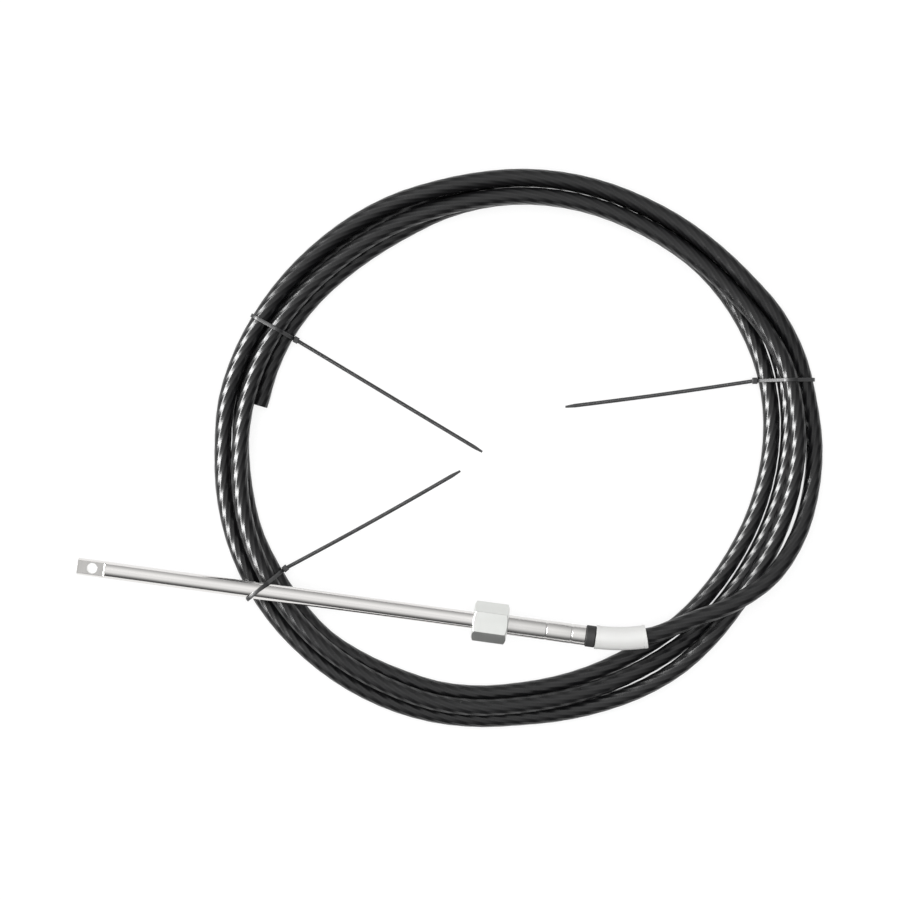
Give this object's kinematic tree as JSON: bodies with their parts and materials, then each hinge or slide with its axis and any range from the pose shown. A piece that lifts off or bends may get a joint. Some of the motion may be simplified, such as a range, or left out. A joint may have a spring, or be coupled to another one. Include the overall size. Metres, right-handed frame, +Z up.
{
  "type": "boat steering cable",
  "caption": "Coiled rotary steering cable with sliding ram, coupling nut and sleeve, bundled with cable ties; pushes and pulls a boat's tiller arm.",
  "frame": {"origin": "on the floor under the middle of the whole coiled cable's bounding box", "axes": "+Z up out of the floor, +X along the longest extent from the ram's eye towards the coil's far side, +Y across the coil"},
  "size_m": [0.7042, 0.5284, 0.058],
  "materials": {
    "black_jacket": "glossy black plastic with shallow helical lobes",
    "white_plastic": "smooth off-white moulded plastic",
    "black_rubber": "matt black moulded rubber",
    "stainless": "polished stainless steel tube",
    "plated_nut": "satin bright-plated steel",
    "black_nylon": "black nylon with a fine moulded sheen"
  },
  "bodies": {
    "conduit": {"cable_jacket": "black_jacket", "strain_relief_sleeve": "white_plastic", "seal_ring": "black_rubber", "hub_tube": "stainless", "guide_tube": "stainless", "cable_tie_1": "black_nylon", "cable_tie_2": "black_nylon", "cable_tie_3": "black_nylon"},
    "ram": {"ram": "stainless"},
    "coupling_nut": {"coupling_nut": "plated_nut"}
  },
  "joints": [
    {"name": "ram_slide", "type": "slide", "parent": "conduit", "child": "ram", "axis": [-0.9907, 0.1357, 0], "range_m": [0, 0.2286]},
    {"name": "nut_spin", "type": "hinge", "parent": "conduit", "child": "coupling_nut", "pos_m": [0.02005, -0.16116, 0.04148], "axis": [-0.9907, 0.1357, 0], "continuous": true}
  ]
}
